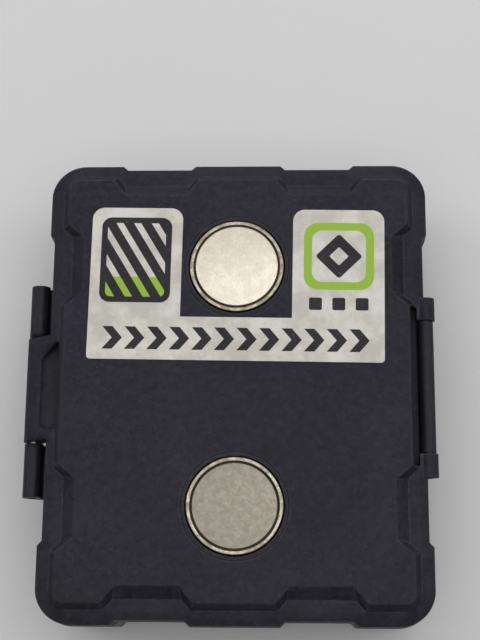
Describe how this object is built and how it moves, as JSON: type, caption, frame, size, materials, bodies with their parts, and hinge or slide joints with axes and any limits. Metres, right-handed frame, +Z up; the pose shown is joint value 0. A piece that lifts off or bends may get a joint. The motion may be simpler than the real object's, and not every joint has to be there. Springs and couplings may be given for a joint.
{
  "type": "magnetic key box",
  "caption": "Rugged plastic key box with a hinged lid, side latch, rubber seal and round pot magnets set into its raised, notched face.",
  "frame": {"origin": "centre of the tray's flat underside, on which the closed box rests", "axes": "+X from the hinge to the latch, +Y along the hinge axis towards the magnet with the sticker round it, +Z up from the tray to the magnet face"},
  "size_m": [0.097, 0.1086, 0.0333],
  "materials": {
    "tray_plastic": "fine-grained moulded",
    "cover_plastic": "fine-grained moulded",
    "lever_plastic": "smooth moulded",
    "seal_rubber": "matt",
    "pin_steel": "drawn",
    "screw_steel": "zinc plated",
    "cup_nickel": "nickel plated, turned",
    "far_magnet_nickel": "bright nickel",
    "near_magnet_nickel": "worn nickel",
    "bond_resin": "cast resin",
    "label_film": "satin printed film"
  },
  "bodies": {
    "tray": {"tray_shell": "tray_plastic", "hinge_pin": "pin_steel"},
    "cover": {"cover_shell": "cover_plastic", "lid_seal": "seal_rubber", "latch_pin": "pin_steel", "face_label": "label_film", "far_magnet_cup": "cup_nickel", "far_magnet_disc": "far_magnet_nickel", "far_bond_ring": "bond_resin", "far_washer": "screw_steel", "far_magnet_screw": "screw_steel", "near_magnet_cup": "cup_nickel", "near_magnet_disc": "near_magnet_nickel", "near_bond_ring": "bond_resin", "near_washer": "screw_steel", "near_magnet_screw": "screw_steel"},
    "latch": {"latch_lever": "lever_plastic"}
  },
  "joints": [
    {"name": "lid_hinge", "type": "hinge", "parent": "tray", "child": "cover", "pos_m": [-0.04735, 0, 0.024], "axis": [0, -1, 0], "range_deg": [0, 170]},
    {"name": "latch_hinge", "type": "hinge", "parent": "cover", "child": "latch", "pos_m": [0.04405, 0, 0.02885], "axis": [0, -1, 0], "range_deg": [0, 110]}
  ]
}
